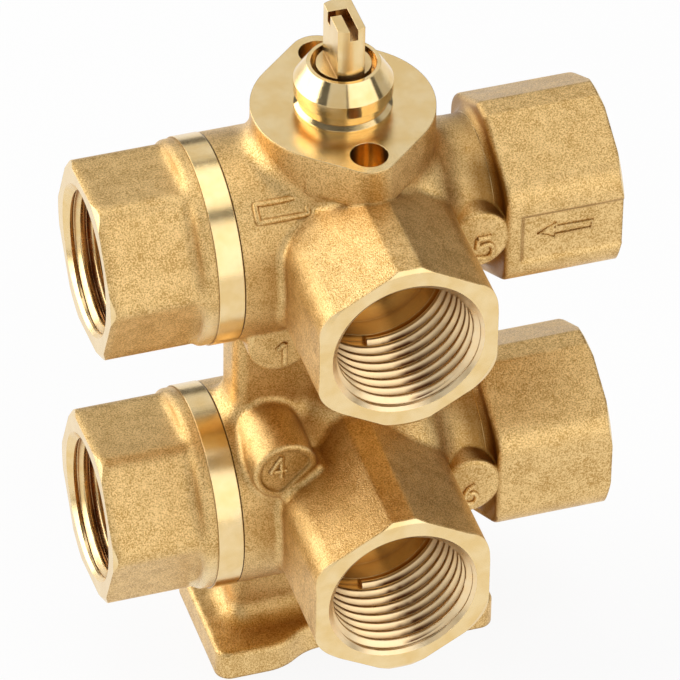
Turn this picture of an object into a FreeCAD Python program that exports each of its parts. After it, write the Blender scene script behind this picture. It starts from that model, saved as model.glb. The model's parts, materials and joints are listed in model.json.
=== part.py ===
import FreeCAD, Part
import math
import os

from FreeCAD import Vector

# Six-way control valve: two three-way ball valves in one brass casting, one above the other,
# turned together by one stem. Millimetres, +Z up along the stem. The origin is the middle of the
# foot's underside, +X runs towards the cast side ports and -Y towards the front ports.

# Port layout
front_reach = 30.9
side_reach = 37.3
level_gap = 16.0

# Half-inch pipe thread in every port
pipe_thread_d = 20.955
pipe_drill_d = 18.63
thread_length = 15.0
port_depth = 18.0
mouth_d = 21.9
mouth_depth = 1.1

# Cast hexagons of the front and right ports
hex_wall = 2.3225
hex_ridge_rise = 1.0
hex_corner_round = 5.0
hex_ridge_round = 0.8
hex_end_round = 0.8
face_chamfer_width = 0.45
face_chamfer_slope = 0.6

# Cast barrel of each level, its bulged chamber and the neck before its right port
seam_x = 18.5
barrel_rise = 1.9
bulge_end_x = 8.0
neck_start_x = 17.0
neck_depth = 3.9
hex_start_x = 20.0
port_blend_r = 1.2
neck_blend_r = 1.5

# Flange, its round neck and its two lobes
flange_rise = 4.7
flange_thickness = 6.4
flange_neck_d = 25.8
flange_hole_pitch = 23.8
flange_hole_d = 5.3
flange_hole_depth = 7.0
flange_lobe_d = 7.8
flange_blend_r = 3.0

# Web and coupling column between the levels, and the web down to the foot
web_thickness = 7.6
web_left_length = 16.5
web_right_length = 14.0
web_edge_round = 2.0
column_d = 13.0
column_blend_r = 3.0
web_blend_r = 3.5

# Foot
foot_length = 42.0
foot_end_width = 22.0
foot_waist_width = 16.4
foot_waist_half_length = 4.6
foot_end_start_x = 13.5
foot_thickness = 4.7
foot_gap = 9.0
foot_corner_r = 2.2
foot_edge_r = 0.8
foot_blend_r = 3.0

# Number bosses on the left, number pads on the right necks
number_boss_d = 9.5
number_boss_flat = 3.2
number_boss_x = 12.1
number_boss_offset = 12.0
number_boss_corner_r = 1.0
number_boss_edge_r = 0.5
number_boss_blend_r = 1.0
upper_boss_reach = 11.3
lower_boss_reach = 14.0
lower_boss_rim = 1.0
lower_boss_recess = 0.4
number_pad_d = 9.6
number_pad_x = 16.0
number_pad_rise = 0.9
number_pad_step = 0.2
number_pad_edge_r = 0.8

# Arrow panel let into the front of the upper right hexagon
panel_start_x = 22.8
panel_top = 3.3
panel_bottom = 4.1
panel_depth = 0.4
panel_slope = 0.7

# Balls and their seats
ball_bore_d = 8.0
ball_margin = 0.5
ball_slot_depth = 2.5
chamber_gap = 0.6
passage_d = 9.6
seat_lap = 0.4
seat_wall = 1.8
seat_length = 3.9
seat_land = 0.2
seat_pocket_depth = 2.4
seat_ring_section = 1.0

# End connectors screwed into the left side
connector_shoulder = 1.95
connector_ring_section = 1.5
collar_d = 29.6
collar_width = 3.6
rim_d = 29.2
rim_width = 2.0
rim_round = 0.9
connector_hex_width = 25.0
connector_hex_turn = 25.0
connector_hex_round = 2.0
connector_blend_r = 1.0

# Stem with the flow mark in its head
stem_d = 7.7
stem_head_rise = 15.3
stem_shoulder_rise = 7.2
stem_blade = 3.9
stem_seat = 1.45
stem_collar_d = 10.4
stem_collar_height = 1.5
stem_ring_section = 0.9
stem_ring_rises = (3.0, 7.5)
washer_thickness = 0.5
flow_mark_width = 1.2
flow_mark_depth = 1.7
flow_mark_x = 0.2
flow_mark_y = 0.8

# Stem bush screwed into the flange, measured up from the flange face
bush_thread_d = 12.0
bush_groove_d = 12.4
bush_groove_height = 2.65
bush_shoulder_d = 13.9
bush_shoulder_top = 4.55
bush_rim_d = 10.3
bush_rim_height = 7.35
bush_recess_d = 9.2
bush_recess_depth = 2.6

# Coupling shaft between the balls
shaft_d = 7.7
shaft_set_back = 0.4
shaft_ring_offset = 5.0
tang_thickness = 3.0

# Clearances
fit_clearance = 0.05
running_clearance = 0.05
nose_clearance = 0.3

# Sizes and places that follow from the ones above
hex_width = pipe_thread_d + 2 * hex_wall
hex_ridge_width = hex_width + 2 * hex_ridge_rise
face_chamfer_d = hex_width + 2 * face_chamfer_width
barrel_d = hex_width + 2 * barrel_rise
neck_d = barrel_d - 2 * neck_depth
lower_axis_z = foot_thickness + foot_gap + barrel_d / 2
upper_axis_z = lower_axis_z + barrel_d + level_gap
flange_height = barrel_d / 2 + flange_rise
flange_z = upper_axis_z + flange_height
stem_top = flange_height + stem_head_rise
stem_shoulder = flange_height + stem_shoulder_rise
seat_inner_d = ball_bore_d + 2 * seat_lap
seat_outer_d = seat_inner_d + 2 * seat_wall
seat_pocket_d = seat_outer_d + 2 * fit_clearance
ball_d = math.sqrt(2) * seat_outer_d + ball_margin
seat_sphere_d = ball_d + 2 * running_clearance
seat_front = math.sqrt(seat_sphere_d ** 2 - seat_outer_d ** 2) / 2 + seat_land
seat_back = seat_front + seat_length
seat_rebate = seat_ring_section + 2 * fit_clearance
chamber_d = ball_d + 2 * chamber_gap
chamber_end_x = seat_back - seat_pocket_depth
connector_thread_d = chamber_d + 2 * connector_shoulder
connector_rebate = connector_ring_section + 2 * fit_clearance
ball_slot_floor = ball_d / 2 - ball_slot_depth
shaft_hole_d = shaft_d + 2 * running_clearance
shaft_end = chamber_d / 2 + shaft_set_back
tang_end = ball_slot_floor + fit_clearance
stem_seat_height = chamber_d / 2 + stem_seat
stem_collar_bottom = stem_seat_height + running_clearance
stem_collar_top = stem_collar_bottom + stem_collar_height
washer_bottom = stem_collar_top + running_clearance
bush_foot = washer_bottom + washer_thickness + running_clearance
rim_end_x = seam_x + collar_width + rim_width

AXIS_X = Vector(1, 0, 0)
AXIS_Y = Vector(0, 1, 0)
AXIS_Z = Vector(0, 0, 1)
CENTRE = Vector(0, 0, 0)
seam_tolerance = 1e-3


def rod(diameter, start, end):
    """Round bar between two points."""
    run = end - start
    return Part.makeCylinder(diameter / 2, run.Length, start, run)


def turned(profile):
    """Solid turned about the X axis from (x, diameter) points, closed along the axis."""
    corners = [Vector(x, diameter / 2, 0) for x, diameter in profile]
    start = Vector(corners[0].x, 0, 0)
    end = Vector(corners[-1].x, 0, 0)
    outline = Part.makePolygon([start] + corners + [end, start])
    return Part.Face(outline).revolve(CENTRE, AXIS_X, 360)


def upright(solid, height):
    """The same solid with its X axis stood up along +Z, raised to a height."""
    return solid.rotated(CENTRE, AXIS_Y, -90).translated(Vector(0, 0, height))


def facing_front(solid):
    return solid.rotated(CENTRE, AXIS_Z, -90)


def facing_left(solid):
    return solid.rotated(CENTRE, AXIS_Z, 180)


def at_level(solid, axis_z):
    return solid.translated(Vector(0, 0, axis_z))


def edges_along(solid, axis):
    return [e for e in solid.Edges if abs(e.tangentAt(e.FirstParameter).dot(axis)) > 0.99]


def meeting_edges(body, first, second):
    """Edges of a fused body that lie on the skins of both forms it was fused from."""
    skins = (second.Shells[0], first.Shells[0])
    found = []
    for edge in body.Edges:
        low, high = edge.ParameterRange
        middle = Part.Vertex(edge.valueAt((low + high) / 2))
        if all(skin.distToShape(middle)[0] < seam_tolerance for skin in skins):
            found.append(edge)
    return found


def blended(first, second, radius):
    """Two forms cast as one, with a fillet where they meet."""
    body = first.fuse(second)
    return body.makeFillet(radius, meeting_edges(body, first, second))


def s_curve(start, end):
    """Two equal arcs between two points, along X where they start and where they end."""
    run = end.x - start.x
    step = end.y - start.y
    radius = (run * run + step * step) / (4 * abs(step))
    half_turn = math.asin(run / 2 / radius) / 2
    drop = radius * (1 - math.cos(half_turn))
    bend = Vector(radius * math.sin(half_turn), math.copysign(drop, step), 0)
    middle = (start + end) / 2
    return [
        Part.Arc(start, start + bend, middle).toShape(),
        Part.Arc(middle, end - bend, end).toShape(),
    ]


def hexagon_bar(width, length):
    """Hexagonal bar along +X that stands on a corner."""
    corner_r = width / math.sqrt(3)
    corners = []
    for k in range(7):
        angle = math.radians(30 + 60 * k)
        corners.append(Vector(0, corner_r * math.cos(angle), corner_r * math.sin(angle)))
    return Part.Face(Part.makePolygon(corners)).extrude(AXIS_X * length)


def port_bar(length):
    """Cast hexagon of a port: side corners well rounded, upper and lower ridges cut flat."""
    bar = hexagon_bar(hex_width, length)
    sides = [e for e in edges_along(bar, AXIS_X) if abs(e.CenterOfMass.y) > seam_tolerance]
    bar = bar.makeFillet(hex_corner_round, sides)
    top = hex_ridge_width / 2
    bar = bar.common(Part.makeBox(length, 2 * hex_width, 2 * top, Vector(0, -hex_width, -top)))
    ridges = [e for e in edges_along(bar, AXIS_X) if abs(abs(e.CenterOfMass.z) - top) < seam_tolerance]
    return bar.makeFillet(hex_ridge_round, ridges)


def face_turning():
    """What the turned chamfer at the face leaves of a side port, as a cone about +X."""
    return turned([
        (0, face_chamfer_d + 2 * side_reach / face_chamfer_slope),
        (side_reach, face_chamfer_d),
    ])


def chamfered_to(reach, bar):
    """A hexagonal bar whose end at the given reach has the turned chamfer."""
    return bar.common(face_turning().translated(AXIS_X * (reach - side_reach)))


def port_bore(reach):
    """Everything bored into one port along +X: seat pocket, passage, drill, thread and mouth."""
    return turned([
        (0, seat_pocket_d),
        (seat_back, seat_pocket_d),
        (seat_back, passage_d),
        (reach - port_depth, passage_d),
        (reach - port_depth, pipe_drill_d),
        (reach - thread_length, pipe_drill_d),
        (reach - thread_length, pipe_thread_d),
        (reach - mouth_depth, pipe_thread_d),
        (reach, mouth_d),
    ])


def cast_barrel():
    """Left barrel, bulged ball chamber and neck of one level, turned about the X axis."""
    bulge_end = Vector(bulge_end_x, barrel_d / 2, 0)
    neck_start = Vector(neck_start_x, neck_d / 2, 0)
    neck_end = Vector(hex_start_x, neck_d / 2, 0)
    outline = [
        Part.makeLine(Vector(-seam_x, 0, 0), Vector(-seam_x, barrel_d / 2, 0)),
        Part.makeLine(Vector(-seam_x, barrel_d / 2, 0), bulge_end),
        *s_curve(bulge_end, neck_start),
        Part.makeLine(neck_start, neck_end),
        Part.makeLine(neck_end, Vector(hex_start_x, 0, 0)),
        Part.makeLine(Vector(hex_start_x, 0, 0), Vector(-seam_x, 0, 0)),
    ]
    return Part.Face(Part.Wire(outline)).revolve(CENTRE, AXIS_X, 360)


def front_port():
    """Hexagon of the front port, run back to the middle of its level."""
    return facing_front(chamfered_to(front_reach, port_bar(front_reach)))


def right_port():
    """Hexagon of the right port, rounded at the end that meets the neck."""
    bar = port_bar(side_reach - hex_start_x).translated(AXIS_X * hex_start_x)
    end = [e for e in bar.Edges if abs(e.BoundBox.XMax - hex_start_x) < seam_tolerance]
    return chamfered_to(side_reach, bar.makeFillet(hex_end_round, end))


def front_edges(solid, reach):
    """Edges of a boss round its face, which looks to the front at the given reach."""
    return [e for e in solid.Edges if abs(e.BoundBox.YMax + reach) < seam_tolerance]


def number_pad():
    """Round pad on the neck for a port number, a little behind the flat of the hexagon."""
    reach = hex_width / 2 - number_pad_step
    root = Vector(number_pad_x, 0, number_pad_rise)
    pad = rod(number_pad_d, root, root - AXIS_Y * reach)
    return pad.makeFillet(number_pad_edge_r, front_edges(pad, reach))


def boss_bar(diameter, flat, reach):
    """Round bar to the front with a flat side, which faces down to the right."""
    bar = rod(diameter, CENTRE, AXIS_Y * -reach)
    bar = bar.common(Part.makeBox(diameter, reach, diameter, Vector(flat - diameter, -reach, -diameter / 2)))
    corners = [e for e in edges_along(bar, AXIS_Y) if abs(e.CenterOfMass.x - flat) < seam_tolerance]
    return bar.makeFillet(number_boss_corner_r, corners).rotated(CENTRE, AXIS_Y, 45)


def number_boss(reach):
    """Boss for a port number, its face rounded at the edge."""
    boss = boss_bar(number_boss_d, number_boss_flat, reach)
    return boss.makeFillet(number_boss_edge_r, front_edges(boss, reach))


def boss_recess():
    """Shallow recess that leaves a rim round the face of the lower boss."""
    bar = boss_bar(number_boss_d - 2 * lower_boss_rim, number_boss_flat - lower_boss_rim, lower_boss_recess)
    return bar.translated(AXIS_Y * (lower_boss_recess - lower_boss_reach))


def arrow_panel():
    """Recess for the flow arrow, with sloping sides and open at the port's end."""
    front = -hex_width / 2
    return Part.makeWedge(
        panel_start_x - panel_slope, front, -panel_bottom - panel_slope,
        -panel_bottom, panel_start_x,
        side_reach, front + panel_depth, panel_top + panel_slope,
        panel_top, side_reach)


def flange_plate():
    """Flange: a round middle drawn out to a lobe round each screw hole."""
    lean = math.asin((flange_neck_d - flange_lobe_d) / flange_hole_pitch)
    round_r = flange_neck_d / 2
    lobe_r = flange_lobe_d / 2
    lobe_y = flange_hole_pitch / 2
    round_side = Vector(round_r, 0, 0)
    round_end = Vector(round_r * math.cos(lean), round_r * math.sin(lean), 0)
    round_middle = Vector(round_r * math.cos(lean / 2), round_r * math.sin(lean / 2), 0)
    lobe_start = Vector(lobe_r * math.cos(lean), lobe_y + lobe_r * math.sin(lean), 0)
    half_turn = (lean + math.pi / 2) / 2
    lobe_middle = Vector(lobe_r * math.cos(half_turn), lobe_y + lobe_r * math.sin(half_turn), 0)
    lobe_tip = Vector(0, lobe_y + lobe_r, 0)
    quarter = [
        Part.Arc(round_side, round_middle, round_end).toShape(),
        Part.makeLine(round_end, lobe_start),
        Part.Arc(lobe_start, lobe_middle, lobe_tip).toShape(),
    ]
    plate = Part.Face(mirrored_outline(quarter)).extrude(AXIS_Z * flange_thickness)
    return plate.translated(Vector(0, 0, flange_z - flange_thickness))


def mirrored_outline(quarter):
    """Closed outline from one quarter of it, mirrored left to right and front to back."""
    half = quarter + [edge.mirror(CENTRE, AXIS_X) for edge in quarter]
    whole = half + [edge.mirror(CENTRE, AXIS_Y) for edge in half]
    return Part.Wire(Part.__sortEdges__(whole))


def web_plate(bottom, top):
    web = Part.makeBox(
        web_left_length + web_right_length, web_thickness, top - bottom,
        Vector(-web_left_length, -web_thickness / 2, bottom))
    return web.makeFillet(web_edge_round, edges_along(web, AXIS_Z))


def spine():
    """Web between the levels, thickened in its middle to the column of the coupling shaft."""
    column = rod(column_d, Vector(0, 0, lower_axis_z), Vector(0, 0, upper_axis_z))
    return blended(web_plate(lower_axis_z, upper_axis_z), column, column_blend_r)


def foot():
    """Foot plate: wide ends drawn in to a waist by S-curves, its upper rim rounded."""
    end_x = foot_length / 2
    end_y = foot_end_width / 2
    waist_y = foot_waist_width / 2
    waist_end = Vector(foot_waist_half_length, -waist_y, 0)
    end_start = Vector(foot_end_start_x, -end_y, 0)
    corner_start = Vector(end_x - foot_corner_r, -end_y, 0)
    corner_end = Vector(end_x, -end_y + foot_corner_r, 0)
    corner_pull = foot_corner_r * math.sqrt(0.5)
    corner_middle = Vector(corner_start.x + corner_pull, corner_end.y - corner_pull, 0)
    quarter = [
        Part.makeLine(Vector(0, -waist_y, 0), waist_end),
        *s_curve(waist_end, end_start),
        Part.makeLine(end_start, corner_start),
        Part.Arc(corner_start, corner_middle, corner_end).toShape(),
        Part.makeLine(corner_end, Vector(end_x, 0, 0)),
    ]
    plate = Part.Face(mirrored_outline(quarter)).extrude(AXIS_Z * foot_thickness)
    rim = [e for e in plate.Edges if abs(e.CenterOfMass.z - foot_thickness) < seam_tolerance]
    return plate.makeFillet(foot_edge_r, rim)


def level_cavity():
    """Everything bored into one level of the casting about its axis crossing."""
    chamber = rod(chamber_d, Vector(-seam_x, 0, 0), Vector(chamber_end_x, 0, 0))
    thread_bore = turned([
        (chamber_end_x - nose_clearance, connector_thread_d + 2 * fit_clearance),
        (seam_x - connector_rebate, connector_thread_d + 2 * fit_clearance),
        (seam_x - connector_rebate, connector_thread_d + 2 * connector_rebate),
        (seam_x, connector_thread_d + 2 * connector_rebate),
    ])
    front_bore = facing_front(port_bore(front_reach))
    return chamber.fuse([facing_left(thread_bore), front_bore, port_bore(side_reach)])


def stem_bore():
    """Stepped hole from the flange face down to the upper chamber."""
    hole = turned([
        (0, shaft_hole_d),
        (stem_seat_height, shaft_hole_d),
        (stem_seat_height, stem_collar_d + 2 * running_clearance),
        (bush_foot, stem_collar_d + 2 * running_clearance),
        (bush_foot, bush_thread_d + 2 * fit_clearance),
        (flange_height, bush_thread_d + 2 * fit_clearance),
    ])
    return upright(hole, upper_axis_z)


def valve_body():
    """The casting: both levels, web, column, flange and foot in one piece."""
    side = blended(cast_barrel(), right_port(), neck_blend_r)
    body = blended(at_level(side, upper_axis_z), spine(), web_blend_r)
    body = blended(body, at_level(side, lower_axis_z), web_blend_r)
    body = blended(body, web_plate(foot_thickness / 2, lower_axis_z), web_blend_r)
    body = blended(body, foot(), foot_blend_r)
    neck = rod(flange_neck_d, Vector(0, 0, upper_axis_z), Vector(0, 0, flange_z))
    body = blended(body, neck, flange_blend_r)
    body = blended(body, at_level(front_port(), upper_axis_z), port_blend_r)
    body = blended(body, at_level(front_port(), lower_axis_z), port_blend_r)
    body = body.fuse(flange_plate()).removeSplitter()
    upper_place = Vector(-number_boss_x, 0, upper_axis_z - number_boss_offset)
    lower_place = Vector(-number_boss_x, 0, lower_axis_z + number_boss_offset)
    upper_boss = number_boss(upper_boss_reach).mirror(CENTRE, AXIS_Z).translated(upper_place)
    body = blended(body, upper_boss, number_boss_blend_r)
    body = blended(body, number_boss(lower_boss_reach).translated(lower_place), number_boss_blend_r)
    body = body.fuse([at_level(number_pad(), upper_axis_z), at_level(number_pad(), lower_axis_z)])
    holes = [at_level(level_cavity(), upper_axis_z), at_level(level_cavity(), lower_axis_z), stem_bore()]
    holes.append(boss_recess().translated(lower_place))
    holes.append(rod(shaft_hole_d, Vector(0, 0, lower_axis_z), Vector(0, 0, upper_axis_z)))
    for lobe in (-1, 1):
        mouth = Vector(0, lobe * flange_hole_pitch / 2, flange_z)
        holes.append(rod(flange_hole_d, mouth - AXIS_Z * flange_hole_depth, mouth))
    holes.append(at_level(arrow_panel(), upper_axis_z))
    return body.cut(holes)


def end_connector():
    """Screwed-in end piece of the left port, about its level's axis crossing."""
    nose = rod(connector_thread_d, Vector(chamber_end_x, 0, 0), Vector(seam_x, 0, 0))
    collar = rod(collar_d, Vector(seam_x, 0, 0), Vector(seam_x + collar_width, 0, 0))
    rim = rod(rim_d, Vector(seam_x + collar_width, 0, 0), Vector(rim_end_x, 0, 0))
    outer_rim = [e for e in rim.Edges if abs(e.CenterOfMass.x - rim_end_x) < seam_tolerance]
    rim = rim.makeFillet(rim_round, outer_rim)
    bar = hexagon_bar(connector_hex_width, side_reach - seam_x)
    bar = bar.makeFillet(connector_hex_round, edges_along(bar, AXIS_X))
    bar = bar.translated(AXIS_X * seam_x).rotated(CENTRE, AXIS_X, -connector_hex_turn)
    grip = blended(rim, chamfered_to(side_reach, bar), connector_blend_r)
    return facing_left(grip.fuse([nose, collar]).removeSplitter().cut(port_bore(side_reach)))


def ball():
    """Ball with its L-shaped bore from the left to the front and a drive slot at each pole."""
    sphere = Part.makeSphere(ball_d / 2)
    elbow = Part.makeSphere(ball_bore_d / 2)
    bores = [rod(ball_bore_d, CENTRE, AXIS_X * -ball_d), rod(ball_bore_d, CENTRE, AXIS_Y * -ball_d), elbow]
    slot_width = tang_thickness + 2 * fit_clearance
    for bottom in (ball_slot_floor, -ball_slot_floor - ball_d):
        bores.append(Part.makeBox(2 * ball_d, slot_width, ball_d, Vector(-ball_d, -slot_width / 2, bottom)))
    return sphere.cut(bores)


def seat():
    """Seat ring of the right side, hollowed to the ball and rebated behind for its O-ring."""
    ring = turned([
        (seat_front, seat_outer_d),
        (seat_back - seat_rebate, seat_outer_d),
        (seat_back - seat_rebate, seat_outer_d - 2 * seat_rebate),
        (seat_back, seat_outer_d - 2 * seat_rebate),
    ])
    bore = rod(seat_inner_d, CENTRE, AXIS_X * seat_back)
    return ring.cut([bore, Part.makeSphere(seat_sphere_d / 2)])


def seat_ring():
    middle_d = seat_outer_d - seat_rebate + fit_clearance
    place = Vector(seat_back - seat_rebate / 2, 0, 0)
    return Part.makeTorus(middle_d / 2, seat_ring_section / 2, place, AXIS_X)


def connector_ring():
    middle_d = connector_thread_d + connector_rebate
    place = Vector(seam_x - connector_rebate / 2, 0, 0)
    return facing_left(Part.makeTorus(middle_d / 2, connector_ring_section / 2, place, AXIS_X))


def ring_groove(shaft_diameter, section, height):
    """Groove for an O-ring round an upright shaft."""
    half_width = section / 2 + fit_clearance
    low = Vector(0, 0, height - half_width)
    high = Vector(0, 0, height + half_width)
    return rod(2 * shaft_diameter, low, high).cut(rod(shaft_diameter - 2 * section, low, high))


def shaft_ring(shaft_diameter, section, height):
    middle_d = shaft_diameter - section + fit_clearance
    return Part.makeTorus(middle_d / 2, section / 2, Vector(0, 0, height), AXIS_Z)


def tang(start_z, end_z):
    """Flat driving tang of a shaft, lying along X."""
    slab = Part.makeBox(
        2 * shaft_d, tang_thickness, end_z - start_z,
        Vector(-shaft_d, -tang_thickness / 2, start_z))
    return slab.common(rod(shaft_d, AXIS_Z * start_z, AXIS_Z * end_z))


def stem_ring_heights():
    return [upper_axis_z + bush_foot + rise for rise in stem_ring_rises]


def shaft_ring_heights():
    middle = (lower_axis_z + upper_axis_z) / 2
    return [middle + shaft_ring_offset, middle - shaft_ring_offset]


def flow_mark():
    """L-shaped groove in the head of the stem, showing which way the bores point."""
    half_width = flow_mark_width / 2
    bottom = stem_top - flow_mark_depth
    corner = Vector(flow_mark_x - half_width, flow_mark_y - half_width, bottom)
    to_left = Part.makeBox(stem_d, flow_mark_width, stem_d, corner - AXIS_X * (stem_d - flow_mark_width))
    to_front = Part.makeBox(flow_mark_width, stem_d, stem_d, corner - AXIS_Y * (stem_d - flow_mark_width))
    return to_left.fuse(to_front)


def stem():
    """Stem with its collar, seal grooves, flat-sided head and tang."""
    bar = upright(turned([
        (stem_collar_bottom, stem_collar_d),
        (stem_collar_top, stem_collar_d),
        (stem_collar_top, stem_d),
        (stem_shoulder, stem_d),
    ]), 0)
    head = rod(stem_d, AXIS_Z * stem_shoulder, AXIS_Z * stem_top)
    blade = Part.makeBox(stem_blade, stem_d, stem_top, Vector(-stem_blade / 2, -stem_d / 2, 0))
    whole = bar.fuse([head.common(blade), tang(tang_end, stem_collar_bottom)]).cut(flow_mark())
    whole = at_level(whole, upper_axis_z)
    return whole.cut([ring_groove(stem_d, stem_ring_section, height) for height in stem_ring_heights()])


def coupling_shaft():
    """Shaft that carries the turn of the upper ball down to the lower one."""
    low = lower_axis_z + shaft_end
    high = upper_axis_z - shaft_end
    whole = rod(shaft_d, AXIS_Z * low, AXIS_Z * high)
    whole = whole.fuse([tang(lower_axis_z + tang_end, low), tang(high, upper_axis_z - tang_end)])
    return whole.cut([ring_groove(shaft_d, stem_ring_section, height) for height in shaft_ring_heights()])


def thrust_washer():
    low = Vector(0, 0, washer_bottom)
    high = Vector(0, 0, washer_bottom + washer_thickness)
    washer = rod(stem_collar_d, low, high).cut(rod(stem_d + 2 * running_clearance, low, high))
    return at_level(washer, upper_axis_z)


def stem_bush():
    """Turned bush that guides the stem and holds it down, with a snap groove above the flange."""
    outside = turned([
        (bush_foot, bush_thread_d),
        (flange_height, bush_thread_d),
        (flange_height, bush_groove_d),
        (flange_height + bush_groove_height, bush_groove_d),
        (flange_height + bush_groove_height, bush_shoulder_d),
        (flange_height + bush_shoulder_top, bush_shoulder_d),
        (flange_height + bush_rim_height, bush_rim_d),
    ])
    recess_floor = flange_height + bush_rim_height - bush_recess_depth
    inside = turned([
        (bush_foot, stem_d + 2 * running_clearance),
        (recess_floor, stem_d + 2 * running_clearance),
        (recess_floor, bush_recess_d),
        (flange_height + bush_rim_height, bush_recess_d),
    ])
    return upright(outside.cut(inside), upper_axis_z)


nodes = {
    "valve_body": valve_body(),
    "stem_bush": stem_bush(),
    "thrust_washer": thrust_washer(),
    "stem": stem(),
    "coupling_shaft": coupling_shaft(),
}
for place, height in zip(("upper", "lower"), stem_ring_heights()[::-1]):
    nodes[place + "_stem_o_ring"] = shaft_ring(stem_d, stem_ring_section, height)
for place, height in zip(("upper", "lower"), shaft_ring_heights()):
    nodes[place + "_shaft_o_ring"] = shaft_ring(shaft_d, stem_ring_section, height)
for place, axis_z in (("upper", upper_axis_z), ("lower", lower_axis_z)):
    nodes[place + "_end_connector"] = at_level(end_connector(), axis_z)
    nodes[place + "_connector_o_ring"] = at_level(connector_ring(), axis_z)
    nodes[place + "_ball"] = at_level(ball(), axis_z)
    for side, turn in (("right", 0), ("front", -90), ("left", 180)):
        seat_place = place + "_" + side + "_seat"
        nodes[seat_place] = at_level(seat().rotated(CENTRE, AXIS_Z, turn), axis_z)
        nodes[seat_place + "_o_ring"] = at_level(seat_ring().rotated(CENTRE, AXIS_Z, turn), axis_z)

os.makedirs("parts", exist_ok=True)
for name, shape in nodes.items():
    shape.exportStep("parts/" + name + ".step")
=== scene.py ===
import json
import math

import bmesh
import bpy
from mathutils import Matrix, Vector


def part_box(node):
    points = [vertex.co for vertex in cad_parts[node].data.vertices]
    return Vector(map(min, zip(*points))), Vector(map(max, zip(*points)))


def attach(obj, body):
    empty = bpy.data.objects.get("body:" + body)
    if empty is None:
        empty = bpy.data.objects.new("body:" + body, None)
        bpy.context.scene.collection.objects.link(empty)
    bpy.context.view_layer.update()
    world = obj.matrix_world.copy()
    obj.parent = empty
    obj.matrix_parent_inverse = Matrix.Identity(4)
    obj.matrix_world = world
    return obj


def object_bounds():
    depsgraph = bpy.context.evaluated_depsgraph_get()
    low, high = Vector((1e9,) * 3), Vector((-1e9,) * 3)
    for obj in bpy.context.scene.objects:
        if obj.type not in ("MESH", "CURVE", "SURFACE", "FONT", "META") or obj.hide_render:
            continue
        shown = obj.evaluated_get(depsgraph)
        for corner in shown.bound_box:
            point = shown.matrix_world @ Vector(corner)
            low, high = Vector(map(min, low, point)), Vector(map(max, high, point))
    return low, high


MM = 0.001

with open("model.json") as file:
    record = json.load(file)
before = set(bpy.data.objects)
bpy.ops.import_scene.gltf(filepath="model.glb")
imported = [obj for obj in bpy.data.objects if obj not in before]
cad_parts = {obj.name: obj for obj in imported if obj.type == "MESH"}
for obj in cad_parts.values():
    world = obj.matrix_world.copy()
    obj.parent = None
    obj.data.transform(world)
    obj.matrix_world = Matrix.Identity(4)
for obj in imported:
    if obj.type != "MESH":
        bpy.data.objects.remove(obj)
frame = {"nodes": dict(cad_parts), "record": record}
cad_low, cad_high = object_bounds()
scene = bpy.context.scene
scene.view_settings.view_transform = "Standard"

# Places read from the frame, in metres
mounts = {mount["name"]: mount for mount in frame["record"]["mounts"]}
ports = {name: mount for name, mount in mounts.items() if mount["kind"] == "threaded_hole"}
upper_z = ports["upper_front_port"]["pos_m"][2]
lower_z = ports["lower_front_port"]["pos_m"][2]
thread_major_r = ports["upper_front_port"]["dims"]["r_mm"] * MM
flange_z = mounts["flange_screws"]["pos_m"][2]
flange_hole_y = mounts["flange_screws"]["dims"]["spacing_y_mm"] * MM / 2
flange_hole_r = mounts["flange_screws"]["dims"]["hole_r_mm"] * MM
front_y = cad_low.y
right_x = cad_high.x
left_x = cad_low.x

# End connector: length from its port's face to the seam between its collar and the casting
connector_reach = 18.8 * MM
seam_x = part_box("lower_end_connector")[0].x + connector_reach

# Pipe thread and its countersunk mouth, measured inwards from the port's face, with angles in degrees
thread_pitch = 1.814 * MM
thread_minor_r = 9.62 * MM
thread_end_depth = 14.6 * MM
thread_end_angle = -8.0
thread_steps_per_turn = 96
thread_crease_angle = 40
mouth_depth = 1.1 * MM
mouth_widening = 0.4725 * MM
mouth_r = thread_major_r + mouth_widening
lead_in_depth = mouth_r - thread_major_r
merge_distance = 1e-6

# Half of the thread's ridge: share of the pitch from its middle, share of the depth from its root
ridge_profile = [(0.50, 0.0), (0.46, 0.02), (0.415, 0.12), (0.18, 0.86), (0.13, 0.96), (0.06, 1.0)]

# Base ring of the stem bush: radius and height above the flange, outside then inside
base_ring_profile = [(6.2 * MM, 0.95 * MM), (6.85 * MM, 0.4 * MM), (6.85 * MM, 0.0), (6.0 * MM, 0.0)]
base_ring_steps = 128
base_ring_crease_angle = 30

# Faces that carry the cast numbers and the arrow
upper_boss_y = -11.3 * MM
lower_boss_y = -13.6 * MM
pad_y = -12.6 * MM
panel_y = -12.4 * MM

# Cast numbers: the place of the middle, then the width and height
cast_numbers = {
    "1": ((-12.0 * MM, upper_boss_y, upper_z - 13.8 * MM), (1.5 * MM, 3.8 * MM)),
    "4": ((-13.1 * MM, lower_boss_y, lower_z + 12.8 * MM), (2.4 * MM, 3.8 * MM)),
    "5": ((16.8 * MM, pad_y, upper_z - 0.4 * MM), (2.5 * MM, 3.5 * MM)),
    "6": ((16.0 * MM, pad_y, lower_z - 0.45 * MM), (2.0 * MM, 3.2 * MM)),
}
number_stroke_r = 0.42 * MM

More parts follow.
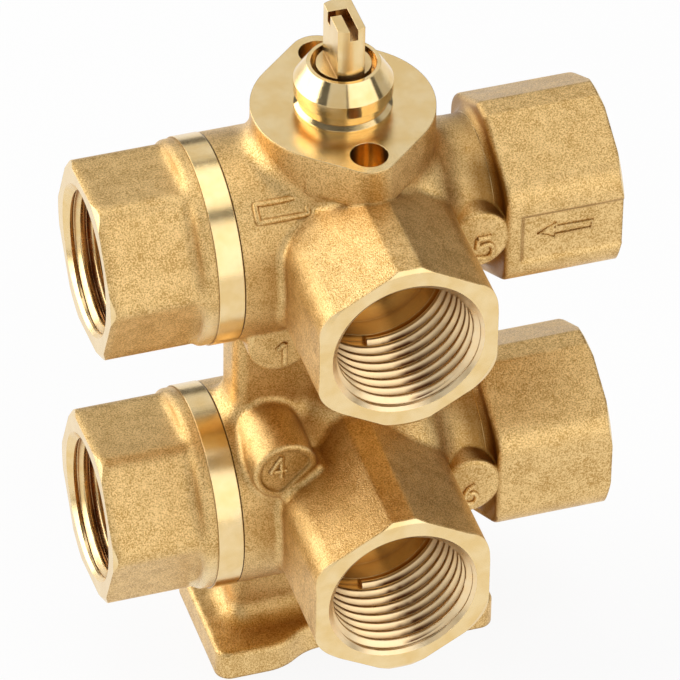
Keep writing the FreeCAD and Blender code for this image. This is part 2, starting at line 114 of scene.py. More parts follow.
# Strokes of the cast numbers, in a box of one by one about the middle
number_strokes = {
    "1": [[(-0.5, 0.22), (0.25, 0.5)], [(0.25, 0.5), (0.25, -0.5)]],
    "4": [[(0.2, -0.5), (0.2, 0.5)], [(0.2, 0.5), (-0.5, -0.2)], [(-0.5, -0.2), (0.5, -0.2)]],
    "5": [
        [(0.42, 0.5), (-0.36, 0.5)], [(-0.36, 0.5), (-0.42, 0.02)],
        [(-0.42, 0.02), (0.1, 0.2), (0.5, 0.1), (0.54, -0.3), (0.3, -0.52), (-0.1, -0.5), (-0.46, -0.46)]],
    "6": [[
        (0.36, 0.5), (-0.1, 0.44), (-0.44, 0.1), (-0.5, -0.3), (-0.2, -0.54), (0.3, -0.52), (0.52, -0.22),
        (0.36, 0.06), (-0.1, 0.1), (-0.44, -0.16)]],
}

# Half of the arrow's outline: along X from its tip, and above its middle
arrow_tip_x = 24.9 * MM
arrow_middle_z = upper_z + 0.1 * MM
arrow_half = [(0.0, 0.0), (2.5 * MM, 1.28 * MM), (2.5 * MM, 0.66 * MM), (7.9 * MM, 0.66 * MM)]
arrow_bead_r = 0.3 * MM

# Oblong casting mark on the upper barrel: along X, and round the barrel from its top towards the front
mark_r = 14.7 * MM
mark_start_x = -15.4 * MM
mark_end_x = -8.2 * MM
mark_start_angle = 37.0
mark_end_angle = 47.0
mark_steps = 6
mark_bead_r = 0.48 * MM

# Fineness of the round section of strokes and beads
bead_resolution = 3

# Machined zones: from a port's face inwards, and from the flange's face to the bottom of its screw holes
face_zone = 1.5 * MM
bore_zone = 18.2 * MM
side_port_zone = 15 * MM
flange_zone = 7.1 * MM

# How far off the flange's face, a screw hole's wall or a cast face a tone still holds
flange_skin = 0.05 * MM
hole_skin = 0.1 * MM
face_skin = 0.3 * MM

# Radius between those of an end connector's rim and of its collar, which is turned bright
collar_skin_r = 14.7 * MM

# Part of a normal along an axis above which a face counts as looking that way
facing_part = 0.5

# Dark seam where an end connector's collar meets the casting
seam_width = 0.2 * MM
seam_inner_r = 14.0 * MM
seam_outer_r = 15.0 * MM

# Groove of the right necks, painted with shade, along X and up from the port's axis
groove_start_x = 15.0 * MM
groove_deep_x = 17.6 * MM
groove_end_x = 20.2 * MM
groove_top = 8.6 * MM
groove_fade = 2.8 * MM
groove_shade_share = 0.8

# Sloped edges of the arrow's panel, with painted shade along the top and starting edges
panel_start_x = 22.8 * MM
panel_top_z = upper_z + 3.3 * MM
panel_bottom_z = upper_z - 4.1 * MM
panel_slope = 0.7 * MM
panel_shade_share = 0.42

# Rim of an end connector between its hexagon and its collar, smooth below a height from the port's axis
# and painted paler there as a highlight
rim_start_x = -24.7 * MM
rim_end_x = -22.12 * MM
rim_r = 13.2 * MM
rim_smooth_highlight_below = 0.0
rim_fade = 5.0 * MM

# Dark brown patches near the thread roots of the front ports: along X, out from the axis, and by the
# normal's Y
dark_patch_start_x = 0.4 * MM
dark_patch_full_x = 1.9 * MM
dark_patch_fade_x = 3.6 * MM
dark_patch_end_x = 8.0 * MM
dark_patch_start_r = 9.85 * MM
dark_patch_full_r = 10.2 * MM
dark_patch_facing = (-0.75, -0.35)
dark_patch_scale = 300
dark_patch_span = (0.30, 0.46)

# Edges as the casting die leaves them, and as they are broken after machining
body_edge_r = 0.7 * MM
connector_edge_r = 2.0 * MM
mark_edge_r = 0.3 * MM
machined_edge_r = 0.15 * MM
turned_edge_r = 0.12 * MM
edge_samples = 4

# Creases painted with shade, a darker colour where little light gets in: hollows between two forms, edges
# of numbers and seams, thread roots
hollow_size = 12 * MM
edge_size = 0.6 * MM
turned_crease_size = 2.5 * MM
thread_hollow_size = 18 * MM
thread_root_size = 1.0 * MM
crease_span = (0.22, 0.86)
crease_samples = 6

# Cast skin: repeats per metre and depth of its grain, mottle and slow drift
grain_scale = 4800
grain_depth = 0.08 * MM
mottle_scale = 420
mottle_depth = 0.04 * MM
drift_scale = 75
drift_depth = 0.10 * MM
grain_share = 0.75
cast_tone_span = (0.40, 0.58)
mottle_drift_span = (0.7, 1.3)

# Machined faces, turned pieces, threads and hidden pieces: tool marks, stains and scuffs
face_mark_pitch = 0.16 * MM
face_mark_depth = 0.0012 * MM
face_stain_scale = 260
turned_mark_pitch = 0.11 * MM
turned_mark_depth = 0.0007 * MM
turned_stain_scale = 300
turned_scuff_scale = 2400
turned_scuff_depth = 0.002 * MM
turned_anisotropy = 0.7
turned_rotation = 0.25
thread_stain_scale = 500
thread_scuff_scale = 2500
thread_scuff_depth = 0.004 * MM
hidden_stain_scale = 600

# Part of a stain's noise that is spread over two colours, and over two values of roughness
tone_span = (0.35, 0.65)
stain_span = (0.3, 0.7)

# Roughness of each finish, from its smoothest to its roughest spots
cast_roughness = (0.33, 0.43)
machined_roughness = (0.17, 0.25)
rim_roughness = 0.24
bush_roughness = (0.12, 0.19)
stem_roughness = (0.17, 0.24)
satin_thread_roughness = (0.27, 0.37)
bright_thread_roughness = (0.20, 0.30)
ball_roughness = (0.04, 0.12)
seat_roughness = (0.36, 0.44)
seal_roughness = (0.46, 0.54)

# Colours
BRASS = (0.84, 0.60, 0.27, 1)
BRASS_PALE = (0.90, 0.69, 0.37, 1)
CAST_PIT = (0.50, 0.29, 0.085, 1)
CAST_PEAK = (0.90, 0.63, 0.28, 1)
# Painted shade in creases of the casting
CAST_CREASE_SHADE = (0.36, 0.18, 0.035, 1)
# Painted shade in the right necks' grooves and at the arrow panel's edge
CAST_GROOVE_SHADE = (0.20, 0.085, 0.012, 1)
# Painted shade in creases of machined faces and of turned pieces
MACHINED_CREASE_SHADE = (0.46, 0.24, 0.06, 1)
TURNED_CREASE_SHADE = (0.30, 0.14, 0.035, 1)
# Painted shade at the thread roots
THREAD_ROOT_SHADE = (0.20, 0.085, 0.03, 1)
THREAD_SATIN = (0.93, 0.68, 0.37, 1)
THREAD_CREAM = (0.96, 0.76, 0.47, 1)
# Painted shade deep in the ports of the bright threads
THREAD_DEEP_SHADE = (0.42, 0.17, 0.05, 1)
THREAD_BROWN = (0.12, 0.04, 0.015, 1)
SEAM_DARK = (0.10, 0.05, 0.015, 1)
PLATING = (0.80, 0.80, 0.82, 1)
PLATING_PALE = (0.86, 0.86, 0.88, 1)
SEAT_WHITE = (0.86, 0.86, 0.84, 1)
SEAT_PALE = (0.92, 0.92, 0.90, 1)
SEAL_BLACK = (0.012, 0.012, 0.012, 1)
SEAL_GREY = (0.022, 0.022, 0.022, 1)
FLOOR_GREY = (0.85, 0.85, 0.85, 1)
WHITE = (1, 1, 1, 1)

# Floor: half of its side and its drop under the object in metres, and the share of it that shows white
floor_half = 3.0
floor_drop = 0.05 * MM
floor_glow_share = 0.9

# Lamps: azimuth from the front and elevation in degrees, distance, width and height in metres, radiance
lamps = {
    "left_box": (-116, 22, 0.9, 1.3, 0.72, 3.2),
    "top_box": (150, 80, 0.9, 0.9, 0.8, 1.5),
    "front_right_box": (30, 26, 1.1, 1.3, 1.2, 1.35),
    "front_left_fill": (-32, 20, 1.25, 0.9, 0.9, 0.6),
    "back_fill": (165, 32, 1.2, 1.2, 0.7, 0.72),
    "right_fill": (95, 20, 1.2, 0.9, 0.8, 0.45),
}
room_light = 0.12

# Camera fitted to the photograph, with angles in degrees
photo_side_px = 680
camera_azimuth = -18.085
camera_elevation = 40.13
camera_roll = 0.941
camera_target = Vector((0, 0, 50.5 * MM))
camera_distance = 1031.18 * MM
camera_focal_px = 7279.76
camera_centre_px = 339.13
camera_sensor_width = 36.0
camera_clip_start = 0.01
camera_clip_end = 20

# Sockets of a mix node for each kind of value: the first value, the second value and the result
MIX_SOCKETS = {"FLOAT": (2, 3, 0), "VECTOR": (4, 5, 1), "RGBA": (6, 7, 2)}


class Graph:
    """Short calls that wire the nodes of one material."""

    def __init__(self, name):
        self.material = bpy.data.materials.new(name)
        self.material.use_nodes = True
        self.tree = self.material.node_tree
        self.tree.nodes.clear()
        output = self.add("ShaderNodeOutputMaterial")
        self.surface = output.inputs["Surface"]

    def add(self, kind, **settings):
        node = self.tree.nodes.new(kind)
        for key, value in settings.items():
            setattr(node, key, value)
        return node

    def put(self, socket, value):
        if isinstance(value, bpy.types.NodeSocket):
            self.tree.links.new(value, socket)
        else:
            socket.default_value = value

    def math(self, operation, first, second=0.0):
        node = self.add("ShaderNodeMath", operation=operation)
        self.put(node.inputs[0], first)
        self.put(node.inputs[1], second)
        return node.outputs[0]

    def all_of(self, *values):
        result = values[0]
        for value in values[1:]:
            result = self.math("MULTIPLY", result, value)
        return result

    def any_of(self, *values):
        result = values[0]
        for value in values[1:]:
            result = self.math("MAXIMUM", result, value)
        return result

    def above(self, value, limit):
        return self.math("GREATER_THAN", value, limit)

    def below(self, value, limit):
        return self.math("LESS_THAN", value, limit)

    def length(self, first, second):
        squares = self.math("ADD", self.math("POWER", first, 2), self.math("POWER", second, 2))
        return self.math("SQRT", squares)

    def parts(self, vector):
        node = self.add("ShaderNodeSeparateXYZ")
        self.put(node.inputs[0], vector)
        return node.outputs

    def coordinates(self):
        return self.add("ShaderNodeTexCoord").outputs["Object"]

    def true_normal(self):
        return self.add("ShaderNodeNewGeometry").outputs["True Normal"]

    def noise(self, vector, scale, detail=2.0, roughness=0.6):
        node = self.add("ShaderNodeTexNoise")
        self.put(node.inputs["Vector"], vector)
        node.inputs["Scale"].default_value = scale
        node.inputs["Detail"].default_value = detail
        node.inputs["Roughness"].default_value = roughness
        return node.outputs["Fac"]

    def spread(self, value, low, high, to_low=0.0, to_high=1.0):
        """A value between low and high, spread over another span and clamped to it."""
        node = self.add("ShaderNodeMapRange")
        for socket, number in zip(node.inputs, (value, low, high, to_low, to_high)):
            self.put(socket, number)
        return node.outputs[0]

    def fall(self, value, low, high, share=1.0):
        """A share that falls to nothing as a value goes from low to high."""
        return self.spread(value, low, high, share, 0.0)

    def blend(self, kind, share, first, second):
        """Two values of one kind, mixed by the share of the second one."""
        first_socket, second_socket, result = MIX_SOCKETS[kind]
        node = self.add("ShaderNodeMix", data_type=kind)
        self.put(node.inputs[0], share)
        self.put(node.inputs[first_socket], first)
        self.put(node.inputs[second_socket], second)
        return node.outputs[result]

    def mix(self, share, first, second):
        return self.blend("FLOAT", share, first, second)

    def mix_vector(self, share, first, second):
        return self.blend("VECTOR", share, first, second)

    def mix_colour(self, share, first, second):
        return self.blend("RGBA", share, first, second)

    def bump(self, height, distance, normal=None):
        node = self.add("ShaderNodeBump")
        self.put(node.inputs["Height"], height)
        node.inputs["Distance"].default_value = distance
        node.inputs["Strength"].default_value = 1.0
        if normal is not None:
            self.put(node.inputs["Normal"], normal)
        return node.outputs["Normal"]

    def openness(self, distance, own_shape):
        """1 in the open, less in a crease of about the given size, in one piece or between pieces."""
        node = self.add("ShaderNodeAmbientOcclusion", samples=crease_samples, only_local=own_shape)
        node.inputs["Distance"].default_value = distance
        return node.outputs["AO"]

    def rounded(self, radius):
        """Normal of the surface with its edges broken to a small radius."""
        node = self.add("ShaderNodeBevel", samples=edge_samples)
        node.inputs["Radius"].default_value = radius
        return node.outputs["Normal"]

    def finish(self, **inputs):
        """Ends the graph in one shader with the given inputs."""
        shader = self.add("ShaderNodeBsdfPrincipled")
        for name, value in inputs.items():
            self.put(shader.inputs[name.replace("_", " ")], value)
        self.tree.links.new(shader.outputs[0], self.surface)
        return self.material


def cast_skin(graph, spot, edge_radius):
    """Colour, roughness and relief of the blasted casting skin, with edges of a given radius."""
    grain = graph.noise(spot, grain_scale)
    mottle = graph.noise(spot, mottle_scale, detail=3)
    drift = graph.noise(spot, drift_scale, roughness=0.5)
    tone = graph.mix(grain_share, mottle, grain)
    colour = graph.mix_colour(graph.spread(tone, *cast_tone_span), CAST_PIT, CAST_PEAK)
    roughness = graph.spread(graph.math("ADD", mottle, drift), *mottle_drift_span, *cast_roughness)
    relief = graph.bump(drift, drift_depth, graph.rounded(edge_radius))
    relief = graph.bump(mottle, mottle_depth, relief)
    relief = graph.bump(grain, grain_depth, relief)
    return colour, roughness, relief


def painted_crease_shade(graph, colour, crease, size, own_shape=True):
    """Painted shade: a colour that goes over to a darker one in creases of the given size."""
    return graph.mix_colour(graph.spread(graph.openness(size, own_shape), *crease_span), crease, colour)


def turning_marks(graph, distance, pitch, depth, edge_radius):
    """Fine tool marks that repeat with a distance from the turning axis or along it."""
    phase = graph.math("MULTIPLY", distance, 2 * math.pi / pitch)
    return graph.bump(graph.math("SINE", phase), depth, graph.rounded(edge_radius))


def casting_material(
        name, edge_radius, machined_where, turned_distance,
        groove_shade_where=None, smooth_rim_highlight_where=None, seam_where=None):
    """Blasted brass, with functions that say where it is machined, where grooves get painted shade, where
    a seam is dark, and where a rim is smooth and painted paler as a highlight; creases get painted shade.
    """
    graph = Graph(name)
    spot = graph.coordinates()
    place = graph.parts(spot)
    machined = machined_where(graph, place, graph.parts(graph.true_normal()))
    colour, roughness, relief = cast_skin(graph, spot, edge_radius)
    # Painted shade in the grooves of the right necks and along the arrow panel's edge
    if groove_shade_where:
        colour = graph.mix_colour(groove_shade_where(graph, place), colour, CAST_GROOVE_SHADE)
    # Smoother rim, painted paler as a highlight
    if smooth_rim_highlight_where:
        rim = smooth_rim_highlight_where(graph, place)
        colour = graph.mix_colour(rim, colour, BRASS_PALE)
        roughness = graph.mix(rim, roughness, rim_roughness)
    distance = turned_distance(graph, place)
    marks = turning_marks(graph, distance, face_mark_pitch, face_mark_depth, machined_edge_r)
    stain = graph.noise(spot, face_stain_scale)
    bright = graph.mix_colour(graph.spread(stain, *tone_span), BRASS, BRASS_PALE)
    polish = graph.spread(stain, *stain_span, *machined_roughness)
    # Painted shade: darker in creases and hollows, and where other pieces or the floor come close;
    # machined creases darken more on the flange than elsewhere
    on_flange = graph.above(place[2], flange_z - flange_zone)
    machined_crease = graph.mix_colour(on_flange, MACHINED_CREASE_SHADE, BRASS)
    crease = graph.mix_colour(machined, CAST_CREASE_SHADE, machined_crease)
    colour = painted_crease_shade(graph, graph.mix_colour(machined, colour, bright), crease, hollow_size)
    colour = painted_crease_shade(graph, colour, crease, edge_size, False)
    if seam_where:
        colour = graph.mix_colour(seam_where(graph, place), colour, SEAM_DARK)
    return graph.finish(
        Base_Color=colour,
        Metallic=1.0,
        Roughness=graph.mix(machined, roughness, polish),
        Normal=graph.mix_vector(machined, relief, marks),
    )


def level_height(graph, z):
    """Height above the nearer level's axis, negative below it."""
    upper = graph.math("SUBTRACT", z, upper_z)
    lower = graph.math("SUBTRACT", z, lower_z)
    return graph.mix(graph.above(z, (upper_z + lower_z) / 2), lower, upper)


def level_offset(graph, z):
    """Distance above or below the nearer level's axis."""
    return graph.math("ABSOLUTE", level_height(graph, z))


def body_machined(graph, place, normal):
    """Flange face and screw holes, port faces with their chamfers, and port bores."""
    x, y, z = place
    offset = level_offset(graph, z)
    right = graph.any_of(
        graph.all_of(graph.above(x, right_x - face_zone), graph.above(normal[0], facing_part)),
        graph.all_of(graph.above(x, right_x - bore_zone), graph.below(graph.length(y, offset), mouth_r)))
    front = graph.any_of(
        graph.all_of(graph.below(y, front_y + face_zone), graph.below(normal[1], -facing_part)),
        graph.all_of(graph.below(y, front_y + bore_zone), graph.below(graph.length(x, offset), mouth_r)))
    hole = graph.length(x, graph.math("SUBTRACT", graph.math("ABSOLUTE", y), flange_hole_y))
    flange = graph.all_of(
        graph.above(z, flange_z - flange_zone),
        graph.any_of(
            graph.above(z, flange_z - flange_skin),
            graph.below(hole, flange_hole_r + hole_skin)))
    return graph.any_of(right, front, flange)


def body_seam(graph, place):
    """Thin dark line where each end connector's collar meets the casting."""
    x, y, z = place
    radius = graph.length(y, level_offset(graph, z))
    return graph.all_of(
        graph.below(x, seam_x + seam_width),
        graph.above(radius, seam_inner_r),
        graph.below(radius, seam_outer_r))


def body_groove_shade(graph, place):
    """Painted shade in the grooves between right necks and hexagons, and at the edge of the arrow's panel.
    """
    x, y, z = place
    neck = graph.all_of(
        graph.spread(x, groove_start_x, groove_deep_x),
        graph.fall(x, groove_end_x, groove_end_x + face_skin),
        graph.fall(level_offset(graph, z), groove_top, groove_top + groove_fade, groove_shade_share),
        graph.above(y, pad_y + face_skin))
    top_edge = graph.all_of(graph.above(z, panel_top_z), graph.above(x, panel_start_x))
    start_edge = graph.all_of(graph.below(x, panel_start_x), graph.above(z, panel_bottom_z))
    panel = graph.all_of(
        graph.any_of(top_edge, start_edge),
        graph.above(x, panel_start_x - panel_slope),
        graph.fall(z, panel_top_z + panel_slope - face_skin, panel_top_z + panel_slope, panel_shade_share),
        graph.below(y, panel_y + face_skin))
    return graph.any_of(neck, panel)


def body_turned_distance(graph, place):
    """Distance from the nearest turning axis: the stem for the flange, else a port's axis."""
    x, y, z = place
    offset = level_offset(graph, z)
    front = graph.length(x, offset)
    right = graph.length(y, offset)
    port = graph.mix(graph.above(x, right_x - side_port_zone), front, right)
    return graph.mix(graph.above(z, flange_z - flange_zone), port, graph.length(x, y))


def connector_machined(graph, place, normal):
    """Collar, port face with its chamfer, and port bore."""
    x, y, z = place
    radius = graph.length(y, level_offset(graph, z))
    collar = graph.all_of(graph.above(x, rim_end_x), graph.above(radius, collar_skin_r))
    face = graph.all_of(graph.below(x, left_x + face_zone), graph.below(normal[0], -facing_part))
    return graph.any_of(collar, face, graph.below(radius, mouth_r))


def connector_smooth_rim_highlight(graph, place):
    """Smooth lower part of the rim between the hexagon and the collar, painted paler there as a highlight.
    """
    x, y, z = place
    height = level_height(graph, z)
    return graph.all_of(
        graph.spread(x, rim_start_x - face_skin, rim_start_x),
        graph.spread(graph.length(y, height), rim_r, rim_r + face_skin),
        graph.spread(height, rim_smooth_highlight_below, rim_smooth_highlight_below - rim_fade))


def connector_turned_distance(graph, place):
    """Distance from the port's axis, growing along it, so that faces and collar all carry marks."""
    x, y, z = place
    return graph.math("ADD", graph.length(y, level_offset(graph, z)), x)


def turned_material(name, roughness):
    """Bright turned brass, with tool marks along the stem's axis."""
    graph = Graph(name)
    spot = graph.coordinates()
    stain = graph.noise(spot, turned_stain_scale)
    scuff = graph.noise(spot, turned_scuff_scale)
    height = graph.parts(spot)[2]
    marks = turning_marks(graph, height, turned_mark_pitch, turned_mark_depth, turned_edge_r)
    colour = graph.mix_colour(graph.spread(stain, *tone_span), BRASS, BRASS_PALE)
    # Painted shade in the creases of the turned piece
    return graph.finish(
        Base_Color=painted_crease_shade(graph, colour, TURNED_CREASE_SHADE, turned_crease_size),
        Metallic=1.0,
        Roughness=graph.spread(stain, *stain_span, *roughness),
        Anisotropic=turned_anisotropy,
        Anisotropic_Rotation=turned_rotation,
        Tangent=graph.add("ShaderNodeTangent", direction_type="RADIAL", axis="Z").outputs[0],
        Normal=graph.bump(scuff, turned_scuff_depth, marks),
    )


def front_thread_dark_patches(graph, spot):
    """Patches near the roots, on the thread flanks that look out of a front port."""
    x, y, z = graph.parts(spot)
    facing = graph.parts(graph.true_normal())[1]
    patches = graph.noise(spot, dark_patch_scale, roughness=0.5)
    return graph.all_of(
        graph.fall(facing, *dark_patch_facing),
        graph.spread(x, dark_patch_start_x, dark_patch_full_x),
        graph.fall(x, dark_patch_fade_x, dark_patch_end_x),
        graph.spread(graph.length(x, level_offset(graph, z)), dark_patch_start_r, dark_patch_full_r),
        graph.above(y, front_y + mouth_depth),
        graph.spread(patches, *dark_patch_span))


def thread_material(name, roughness, colour, other, deep):
    """Cut thread: two near colours, another one painted deep in the port as shade, roots painted with
    shade, and dark brown patches on the flanks.
    """
    graph = Graph(name)
    spot = graph.coordinates()
    stain = graph.noise(spot, thread_stain_scale, detail=3)
    mixed = graph.mix_colour(graph.spread(stain, *tone_span), colour, other)
    # Painted shade deep in the port
    mixed = painted_crease_shade(graph, mixed, deep, thread_hollow_size)
    mixed = graph.mix_colour(front_thread_dark_patches(graph, spot), mixed, THREAD_BROWN)
    # Painted shade at the roots
    return graph.finish(
        Base_Color=painted_crease_shade(graph, mixed, THREAD_ROOT_SHADE, thread_root_size),
        Metallic=1.0,
        Roughness=graph.spread(stain, *stain_span, *roughness),
        Normal=graph.bump(graph.noise(spot, thread_scuff_scale), thread_scuff_depth),
    )


def raised_cast_material():
    """Casting skin for the numbers, the arrow and the oblong mark."""
    graph = Graph("cast_mark")
    colour, roughness, relief = cast_skin(graph, graph.coordinates(), mark_edge_r)
    # Painted shade at the edges of the raised marks
    colour = painted_crease_shade(graph, colour, CAST_CREASE_SHADE, edge_size, False)
    return graph.finish(Base_Color=colour, Metallic=1.0, Roughness=roughness, Normal=relief)


def hidden_material(name, colour, other, metallic, roughness):
    """Finish of a piece inside the valve: two near colours in a fine mottle."""
    graph = Graph(name)
    stain = graph.noise(graph.coordinates(), hidden_stain_scale, roughness=0.5)
    return graph.finish(
        Base_Color=graph.mix_colour(stain, colour, other),
        Metallic=metallic,
        Roughness=graph.spread(stain, *stain_span, *roughness),
    )


def give(obj, material):
    """Makes a material the only one of an object."""
    obj.data.materials.clear()
    obj.data.materials.append(material)


def dress_nodes():
    """Gives every solid the finish that the last word of its name calls for."""
    body = casting_material(
        "cast_body", body_edge_r, body_machined, body_turned_distance,
        groove_shade_where=body_groove_shade, seam_where=body_seam)
    connector = casting_material(
        "cast_connector", connector_edge_r, connector_machined, connector_turned_distance,
        smooth_rim_highlight_where=connector_smooth_rim_highlight)
    bush = turned_material("turned_bush", bush_roughness)
    stem = turned_material("milled_stem", stem_roughness)
    ball = hidden_material("plated_ball", PLATING, PLATING_PALE, 1.0, ball_roughness)
    seat = hidden_material("white_seat", SEAT_WHITE, SEAT_PALE, 0.0, seat_roughness)
    seal = hidden_material("black_seal", SEAL_BLACK, SEAL_GREY, 0.0, seal_roughness)
    finishes = {
        "body": body, "connector": connector, "bush": bush, "stem": stem, "shaft": stem,
        "ball": ball, "seat": seat, "washer": seat, "ring": seal}
    for name, node in frame["nodes"].items():
        give(node, finishes[name.split("_")[-1]])


def new_piece(name, mesh, material):
    """A piece of the housing, with its material."""
    piece = bpy.data.objects.new(name, mesh)
    scene.collection.objects.link(piece)
    give(piece, material)
    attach(piece, "housing")


def bridge(mesh, rows):
    """Faces from each row of points to the next one, where every row is a closed loop."""
    for row, following in zip(rows, rows[1:]):
        count = len(row)
        for k in range(count):
            n = (k + 1) % count
            mesh.faces.new((row[k], row[n], following[n], following[k]))


def finished_mesh(name, mesh, crease_angle):
    """A smooth mesh that faces outwards, with sharp edges above an angle in degrees."""
    bmesh.ops.recalc_face_normals(mesh, faces=mesh.faces)
    data = bpy.data.meshes.new(name)
    mesh.to_mesh(data)
    mesh.free()
    data.shade_smooth()
    data.set_sharp_from_angle(angle=math.radians(crease_angle))
    return data


def ridge_section():
    """Both halves of the ridge's profile, from the mouth's side over the crest to the inner side."""
    mirrored = [(-along, height) for along, height in ridge_profile]
    return mirrored + ridge_profile[::-1]


def thread_ridge(name, port, material):
    """The ridge of one port's thread, wound from its inner end to the mouth, and the countersink."""
    outward = Vector(port["axis"])
    down = Vector((0, 0, -1))
    side = outward.cross(down)
    face = Vector(port["pos_m"]) + outward * (port["dims"]["length_mm"] * MM / 2 + mouth_depth)

    def point(angle, radius, depth):
        spoke = down * math.cos(angle) + side * math.sin(angle)
        return face - outward * depth + spoke * radius

    section = ridge_section()
    depth_of_cut = thread_major_r - thread_minor_r
    half_ridge = ridge_profile[0][0]
    turns = (thread_end_depth - lead_in_depth) / thread_pitch + half_ridge
    mesh = bmesh.new()
    rows = []
    for step in range(int(turns * thread_steps_per_turn) + 1):
        turn = step / thread_steps_per_turn
        angle = math.radians(thread_end_angle) + 2 * math.pi * turn
        row = []
        for along, height in section:
            depth = max(thread_end_depth + (along - turn) * thread_pitch, lead_in_depth)
            radius = max(thread_major_r - height * depth_of_cut, mouth_r - depth)
            row.append(mesh.verts.new(point(angle, min(radius, thread_major_r), depth)))
        rows.append(row)
    bridge(mesh, rows)
    mesh.faces.new(rows[0][::-1])
    mesh.faces.new(rows[-1])
    countersink = ((mouth_r, 0), (thread_major_r, lead_in_depth), (thread_major_r, mouth_depth))
    mouth_rows = []
    for step in range(2 * thread_steps_per_turn):
        angle = math.pi * step / thread_steps_per_turn
        mouth_rows.append([mesh.verts.new(point(angle, radius, depth)) for radius, depth in countersink])
    bridge(mesh, mouth_rows + mouth_rows[:1])
    bmesh.ops.remove_doubles(mesh, verts=mesh.verts, dist=merge_distance)
    bmesh.ops.dissolve_degenerate(mesh, edges=mesh.edges, dist=merge_distance)
    new_piece(name, finished_mesh(name, mesh, thread_crease_angle), material)


def port_threads():
    """A thread in every port, satin in the casting and bright in the end connectors on the left."""
    satin = thread_material(
        "satin_thread", satin_thread_roughness, THREAD_SATIN, THREAD_CREAM, THREAD_SATIN)
    # The bright threads are painted darker deep in their ports as shade
    bright = thread_material(
        "bright_thread", bright_thread_roughness, BRASS, BRASS_PALE, THREAD_DEEP_SHADE)
    for name, port in ports.items():
        looks_left = port["axis"][0] < 0
        thread_ridge(name.replace("port", "thread"), port, bright if looks_left else satin)


def bush_base_ring():
    """The sloped ring at the bottom of the stem bush's groove, in the bush's finish."""
    mesh = bmesh.new()
    rows = []
    for step in range(base_ring_steps):
        angle = 2 * math.pi * step / base_ring_steps
        spoke = Vector((math.cos(angle), math.sin(angle), 0))
        row = []
        for radius, rise in base_ring_profile:
            row.append(mesh.verts.new(spoke * radius + Vector((0, 0, flange_z + rise))))
        rows.append(row)
    bridge(mesh, rows + rows[:1])
    material = frame["nodes"]["stem_bush"].data.materials[0]
    data = finished_mesh("bush_base_ring", mesh, base_ring_crease_angle)
    new_piece("bush_base_ring", data, material)


def round_curve(name, radius):
    """An empty curve with a round section."""
    curve = bpy.data.curves.new(name, "CURVE")
    curve.dimensions = "3D"
    curve.bevel_depth = radius
    curve.bevel_resolution = bead_resolution
    return curve


def curve_piece(name, curve, material):
    """A piece with the mesh of a curve, whose own object is removed again."""
    holder = bpy.data.objects.new("holder", curve)
    scene.collection.objects.link(holder)
    bpy.context.view_layer.update()
    depsgraph = bpy.context.evaluated_depsgraph_get()
    mesh = bpy.data.meshes.new_from_object(holder.evaluated_get(depsgraph))
    bpy.data.objects.remove(holder)
    mesh.name = name
    new_piece(name, mesh, material)


def cast_digit(digit, place, size, material):
    """A raised digit of round strokes, of a given width and height, on a face that looks to the front."""
    x, y, z = place
    width, height = size
    name = "digit_" + digit
    curve = round_curve(name, number_stroke_r)
    curve.use_fill_caps = True
    for stroke in number_strokes[digit]:
        spline = curve.splines.new("NURBS")
        spline.points.add(len(stroke) - 1)
        for point, (along, up) in zip(spline.points, stroke):
            point.co = (x + along * width, y, z + up * height, 1)
        spline.order_u = min(3, len(stroke))
        spline.use_endpoint_u = True
    curve_piece(name, curve, material)


def cast_bead(name, points, radius, material):
    """A closed raised bead through the given points."""
    curve = round_curve(name, radius)
    spline = curve.splines.new("POLY")
    spline.points.add(len(points) - 1)
    for point, place in zip(spline.points, points):
        point.co = (*place, 1)
    spline.use_cyclic_u = True
    curve_piece(name, curve, material)


def cast_arrow(material):
    """The raised outline of an arrow on the panel of the upper right port."""
    outline = arrow_half + [(x, -z) for x, z in arrow_half[:0:-1]]
    points = [(arrow_tip_x + x, panel_y, arrow_middle_z + z) for x, z in outline]
    cast_bead("flow_arrow", points, arrow_bead_r, material)


def barrel_mark(material):
    """The raised rim of an oblong mark left on the upper barrel by the casting die."""
    corners = [
        (mark_start_x, mark_start_angle), (mark_end_x, mark_start_angle),
        (mark_end_x, mark_end_angle), (mark_start_x, mark_end_angle)]
    points = []
    for (x, angle), (next_x, next_angle) in zip(corners, corners[1:] + corners[:1]):
        for step in range(mark_steps):
            share = step / mark_steps
            turn = math.radians(angle + share * (next_angle - angle))
            place_x = x + share * (next_x - x)
            points.append((place_x, -mark_r * math.sin(turn), upper_z + mark_r * math.cos(turn)))
    cast_bead("barrel_mark", points, mark_bead_r, material)


def cast_marks():
    """Numbers, arrow and oblong mark, raised on the casting."""
    material = raised_cast_material()
    for digit, (place, size) in cast_numbers.items():
        cast_digit(digit, place, size, material)
    cast_arrow(material)
    barrel_mark(material)


def direction(azimuth, elevation):
    """Unit vector away from the object, at an azimuth from the front and an elevation in radians."""
    return Vector((
        math.sin(azimuth) * math.cos(elevation),
        -math.cos(azimuth) * math.cos(elevation),
        math.sin(elevation)))


def softbox(name, azimuth, elevation, distance, width, height, radiance):
    """A rectangular lamp that looks at the object from one side."""
    light = bpy.data.lights.new(name, "AREA")
    light.shape = "RECTANGLE"
    light.size = width
    light.size_y = height
    light.energy = radiance * math.pi * width * height
    lamp = bpy.data.objects.new(name, light)
    scene.collection.objects.link(lamp)
    back = direction(math.radians(azimuth), math.radians(elevation))
    lamp.location = camera_target + back * distance
    lamp.rotation_mode = "QUATERNION"
    lamp.rotation_quaternion = (-back).to_track_quat("-Z", "Y")
    lamp.visible_camera = False


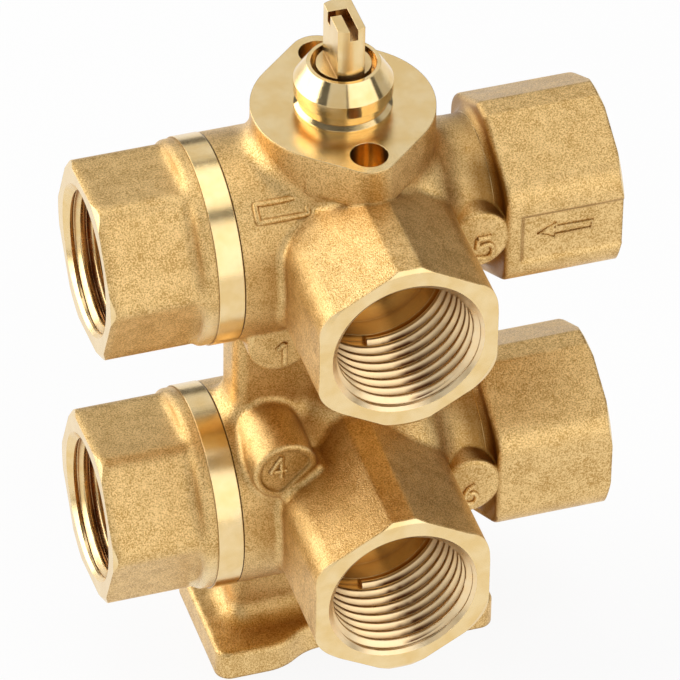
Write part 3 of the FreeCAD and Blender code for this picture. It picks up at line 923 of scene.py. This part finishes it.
def floor():
    """A pale floor that shows white to the eye and in reflections, and keeps the object's shadow."""
    mesh = bpy.data.meshes.new("floor")
    half = floor_half
    corners = [(-half, -half, 0), (half, -half, 0), (half, half, 0), (-half, half, 0)]
    mesh.from_pydata(corners, [], [(0, 1, 2, 3)])
    plane = bpy.data.objects.new("floor", mesh)
    plane.location.z = -floor_drop
    scene.collection.objects.link(plane)
    graph = Graph("floor")
    diffuse = graph.add("ShaderNodeBsdfDiffuse")
    diffuse.inputs["Color"].default_value = FLOOR_GREY
    glow = graph.add("ShaderNodeEmission")
    glow.inputs["Color"].default_value = WHITE
    glow.inputs["Strength"].default_value = 1.0
    rays = graph.add("ShaderNodeLightPath").outputs
    seen = graph.any_of(rays["Is Camera Ray"], rays["Is Glossy Ray"], rays["Is Transmission Ray"])
    mix = graph.add("ShaderNodeMixShader")
    graph.put(mix.inputs[0], graph.math("MULTIPLY", seen, floor_glow_share))
    graph.put(mix.inputs[1], diffuse.outputs[0])
    graph.put(mix.inputs[2], glow.outputs[0])
    graph.put(graph.surface, mix.outputs[0])
    give(plane, graph.material)


def studio():
    """A dim room, white only where the camera looks straight at it, with large soft lamps."""
    world = bpy.data.worlds.new("studio")
    scene.world = world
    world.use_nodes = True
    tree = world.node_tree
    background = tree.nodes["Background"]
    background.inputs["Color"].default_value = WHITE
    path = tree.nodes.new("ShaderNodeLightPath")
    strength = tree.nodes.new("ShaderNodeMapRange")
    strength.inputs["To Min"].default_value = room_light
    strength.inputs["To Max"].default_value = 1.0
    tree.links.new(path.outputs["Is Camera Ray"], strength.inputs["Value"])
    tree.links.new(strength.outputs[0], background.inputs["Strength"])
    for name, values in lamps.items():
        softbox(name, *values)


def camera():
    """The camera at the photograph's place, rolled and framed as there."""
    data = bpy.data.cameras.new("camera")
    data.sensor_width = camera_sensor_width
    data.lens = camera_focal_px * data.sensor_width / photo_side_px
    data.shift_x = (photo_side_px / 2 - camera_centre_px) / photo_side_px
    data.clip_start = camera_clip_start
    data.clip_end = camera_clip_end
    azimuth = math.radians(camera_azimuth)
    roll = math.radians(camera_roll)
    back = direction(azimuth, math.radians(camera_elevation))
    level_right = Vector((math.cos(azimuth), math.sin(azimuth), 0))
    level_up = back.cross(level_right)
    right = level_right * math.cos(roll) + level_up * math.sin(roll)
    up = level_up * math.cos(roll) - level_right * math.sin(roll)
    eye = bpy.data.objects.new("camera", data)
    scene.collection.objects.link(eye)
    turn = Matrix((right, up, back)).transposed().to_4x4()
    eye.matrix_world = Matrix.Translation(camera_target + back * camera_distance) @ turn
    scene.camera = eye


dress_nodes()
port_threads()
cast_marks()
bush_base_ring()
floor()
studio()
camera()
